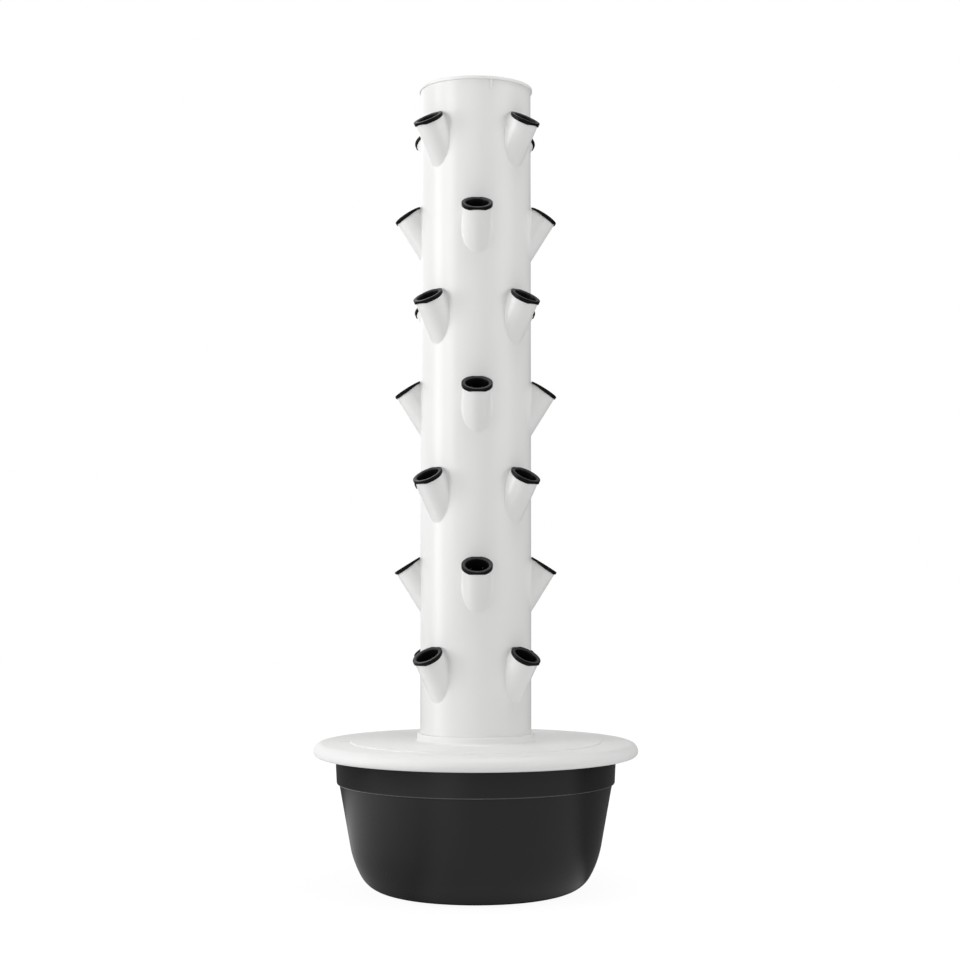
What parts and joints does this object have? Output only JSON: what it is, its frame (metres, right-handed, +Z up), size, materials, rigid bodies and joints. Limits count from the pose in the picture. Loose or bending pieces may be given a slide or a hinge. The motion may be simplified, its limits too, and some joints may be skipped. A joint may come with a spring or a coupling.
{
  "type": "hydroponic tower",
  "caption": "Free-standing hydroponic tower: a white column of slanted planting mouths with black net cups on a round lidded black tank, fed by a pump and an inner riser.",
  "frame": {"origin": "centre of the tank's foot, on the floor", "axes": "+Z up along the column, -Y towards the front, +X to the right seen from the front"},
  "size_m": [0.4659, 0.466, 1.1583],
  "materials": {
    "tank_black": "satin black moulded polypropylene",
    "lid_white": "satin white moulded plastic",
    "pipe_white": "semi-gloss white pipe plastic",
    "cap_white": "semi-gloss white moulded plastic",
    "cup_black": "black moulded polypropylene",
    "black_rubber": "black rubber",
    "riser_grey": "grey pipe plastic",
    "pump_black": "black moulded plastic",
    "pump_grey": "grey moulded plastic",
    "shaft_steel": "ground stainless steel"
  },
  "bodies": {
    "tank": {"tank": "tank_black", "pump_body": "pump_black", "pump_volute": "pump_black", "pump_strainer": "pump_black", "rotor_shaft": "shaft_steel", "shaft_bushes": "black_rubber", "pump_feet": "black_rubber", "riser_lower": "riser_grey", "riser_coupling": "riser_grey", "riser_upper": "riser_grey"},
    "lid": {"lid": "lid_white", "column_socket": "lid_white", "cable_grommet": "black_rubber"},
    "column": {"column_pipe": "pipe_white", "mouths_row_1": "pipe_white", "mouths_row_2": "pipe_white", "mouths_row_3": "pipe_white", "mouths_row_4": "pipe_white", "mouths_row_5": "pipe_white", "mouths_row_6": "pipe_white", "mouths_row_7": "pipe_white", "tray_ring": "pipe_white", "drip_tray": "cap_white"},
    "top_cap": {"top_cap": "cap_white"},
    "fill_plug": {"fill_plug": "cap_white", "fill_plug_ring": "black_rubber"},
    "flow_dial": {"flow_dial": "pump_grey"},
    "impeller": {"pump_rotor": "pump_grey"},
    "net_cup_r1_p1": {"net_cup_r1_p1": "cup_black"},
    "net_cup_r1_p2": {"net_cup_r1_p2": "cup_black"},
    "net_cup_r1_p3": {"net_cup_r1_p3": "cup_black"},
    "net_cup_r1_p4": {"net_cup_r1_p4": "cup_black"},
    "net_cup_r2_p1": {"net_cup_r2_p1": "cup_black"},
    "net_cup_r2_p2": {"net_cup_r2_p2": "cup_black"},
    "net_cup_r2_p3": {"net_cup_r2_p3": "cup_black"},
    "net_cup_r2_p4": {"net_cup_r2_p4": "cup_black"},
    "net_cup_r3_p1": {"net_cup_r3_p1": "cup_black"},
    "net_cup_r3_p2": {"net_cup_r3_p2": "cup_black"},
    "net_cup_r3_p3": {"net_cup_r3_p3": "cup_black"},
    "net_cup_r3_p4": {"net_cup_r3_p4": "cup_black"},
    "net_cup_r4_p1": {"net_cup_r4_p1": "cup_black"},
    "net_cup_r4_p2": {"net_cup_r4_p2": "cup_black"},
    "net_cup_r4_p3": {"net_cup_r4_p3": "cup_black"},
    "net_cup_r4_p4": {"net_cup_r4_p4": "cup_black"},
    "net_cup_r5_p1": {"net_cup_r5_p1": "cup_black"},
    "net_cup_r5_p2": {"net_cup_r5_p2": "cup_black"},
    "net_cup_r5_p3": {"net_cup_r5_p3": "cup_black"},
    "net_cup_r5_p4": {"net_cup_r5_p4": "cup_black"},
    "net_cup_r6_p1": {"net_cup_r6_p1": "cup_black"},
    "net_cup_r6_p2": {"net_cup_r6_p2": "cup_black"},
    "net_cup_r6_p3": {"net_cup_r6_p3": "cup_black"},
    "net_cup_r6_p4": {"net_cup_r6_p4": "cup_black"},
    "net_cup_r7_p1": {"net_cup_r7_p1": "cup_black"},
    "net_cup_r7_p2": {"net_cup_r7_p2": "cup_black"},
    "net_cup_r7_p3": {"net_cup_r7_p3": "cup_black"},
    "net_cup_r7_p4": {"net_cup_r7_p4": "cup_black"}
  },
  "joints": [
    {"name": "cap_lift", "type": "slide", "parent": "column", "child": "top_cap", "axis": [0, 0, 1], "range_m": [0, 0.04]},
    {"name": "column_turn", "type": "hinge", "parent": "lid", "child": "column", "pos_m": [0, 0, 0], "axis": [0, 0, 1], "continuous": true},
    {"name": "fill_plug_lift", "type": "slide", "parent": "lid", "child": "fill_plug", "axis": [0, 0, 1], "range_m": [0, 0.04]},
    {"name": "flow_dial_turn", "type": "hinge", "parent": "tank", "child": "flow_dial", "pos_m": [0, 0, 0.0395], "axis": [0, -1, 0], "range_deg": [0, 45]},
    {"name": "impeller_spin", "type": "hinge", "parent": "tank", "child": "impeller", "pos_m": [0, 0, 0.0395], "axis": [0, 1, 0], "continuous": true},
    {"name": "lid_lift", "type": "slide", "parent": "tank", "child": "lid", "axis": [0, 0, 1], "range_m": [0, 0.15]},
    {"name": "net_cup_r1_p1_lift", "type": "slide", "parent": "column", "child": "net_cup_r1_p1", "axis": [0.3747, 0.3747, 0.848], "range_m": [0, 0.065]},
    {"name": "net_cup_r1_p2_lift", "type": "slide", "parent": "column", "child": "net_cup_r1_p2", "axis": [-0.3747, 0.3747, 0.848], "range_m": [0, 0.065]},
    {"name": "net_cup_r1_p3_lift", "type": "slide", "parent": "column", "child": "net_cup_r1_p3", "axis": [-0.3747, -0.3747, 0.848], "range_m": [0, 0.065]},
    {"name": "net_cup_r1_p4_lift", "type": "slide", "parent": "column", "child": "net_cup_r1_p4", "axis": [0.3747, -0.3747, 0.848], "range_m": [0, 0.065]},
    {"name": "net_cup_r2_p1_lift", "type": "slide", "parent": "column", "child": "net_cup_r2_p1", "axis": [0.5299, 0, 0.848], "range_m": [0, 0.065]},
    {"name": "net_cup_r2_p2_lift", "type": "slide", "parent": "column", "child": "net_cup_r2_p2", "axis": [0, 0.5299, 0.848], "range_m": [0, 0.065]},
    {"name": "net_cup_r2_p3_lift", "type": "slide", "parent": "column", "child": "net_cup_r2_p3", "axis": [-0.5299, 0, 0.848], "range_m": [0, 0.065]},
    {"name": "net_cup_r2_p4_lift", "type": "slide", "parent": "column", "child": "net_cup_r2_p4", "axis": [0, -0.5299, 0.848], "range_m": [0, 0.065]},
    {"name": "net_cup_r3_p1_lift", "type": "slide", "parent": "column", "child": "net_cup_r3_p1", "axis": [0.3747, 0.3747, 0.848], "range_m": [0, 0.065]},
    {"name": "net_cup_r3_p2_lift", "type": "slide", "parent": "column", "child": "net_cup_r3_p2", "axis": [-0.3747, 0.3747, 0.848], "range_m": [0, 0.065]},
    {"name": "net_cup_r3_p3_lift", "type": "slide", "parent": "column", "child": "net_cup_r3_p3", "axis": [-0.3747, -0.3747, 0.848], "range_m": [0, 0.065]},
    {"name": "net_cup_r3_p4_lift", "type": "slide", "parent": "column", "child": "net_cup_r3_p4", "axis": [0.3747, -0.3747, 0.848], "range_m": [0, 0.065]},
    {"name": "net_cup_r4_p1_lift", "type": "slide", "parent": "column", "child": "net_cup_r4_p1", "axis": [0.5299, 0, 0.848], "range_m": [0, 0.065]},
    {"name": "net_cup_r4_p2_lift", "type": "slide", "parent": "column", "child": "net_cup_r4_p2", "axis": [0, 0.5299, 0.848], "range_m": [0, 0.065]},
    {"name": "net_cup_r4_p3_lift", "type": "slide", "parent": "column", "child": "net_cup_r4_p3", "axis": [-0.5299, 0, 0.848], "range_m": [0, 0.065]},
    {"name": "net_cup_r4_p4_lift", "type": "slide", "parent": "column", "child": "net_cup_r4_p4", "axis": [0, -0.5299, 0.848], "range_m": [0, 0.065]},
    {"name": "net_cup_r5_p1_lift", "type": "slide", "parent": "column", "child": "net_cup_r5_p1", "axis": [0.3747, 0.3747, 0.848], "range_m": [0, 0.065]},
    {"name": "net_cup_r5_p2_lift", "type": "slide", "parent": "column", "child": "net_cup_r5_p2", "axis": [-0.3747, 0.3747, 0.848], "range_m": [0, 0.065]},
    {"name": "net_cup_r5_p3_lift", "type": "slide", "parent": "column", "child": "net_cup_r5_p3", "axis": [-0.3747, -0.3747, 0.848], "range_m": [0, 0.065]},
    {"name": "net_cup_r5_p4_lift", "type": "slide", "parent": "column", "child": "net_cup_r5_p4", "axis": [0.3747, -0.3747, 0.848], "range_m": [0, 0.065]},
    {"name": "net_cup_r6_p1_lift", "type": "slide", "parent": "column", "child": "net_cup_r6_p1", "axis": [0.5299, 0, 0.848], "range_m": [0, 0.065]},
    {"name": "net_cup_r6_p2_lift", "type": "slide", "parent": "column", "child": "net_cup_r6_p2", "axis": [0, 0.5299, 0.848], "range_m": [0, 0.065]},
    {"name": "net_cup_r6_p3_lift", "type": "slide", "parent": "column", "child": "net_cup_r6_p3", "axis": [-0.5299, 0, 0.848], "range_m": [0, 0.065]},
    {"name": "net_cup_r6_p4_lift", "type": "slide", "parent": "column", "child": "net_cup_r6_p4", "axis": [0, -0.5299, 0.848], "range_m": [0, 0.065]},
    {"name": "net_cup_r7_p1_lift", "type": "slide", "parent": "column", "child": "net_cup_r7_p1", "axis": [0.3747, 0.3747, 0.848], "range_m": [0, 0.065]},
    {"name": "net_cup_r7_p2_lift", "type": "slide", "parent": "column", "child": "net_cup_r7_p2", "axis": [-0.3747, 0.3747, 0.848], "range_m": [0, 0.065]},
    {"name": "net_cup_r7_p3_lift", "type": "slide", "parent": "column", "child": "net_cup_r7_p3", "axis": [-0.3747, -0.3747, 0.848], "range_m": [0, 0.065]},
    {"name": "net_cup_r7_p4_lift", "type": "slide", "parent": "column", "child": "net_cup_r7_p4", "axis": [0.3747, -0.3747, 0.848], "range_m": [0, 0.065]}
  ]
}
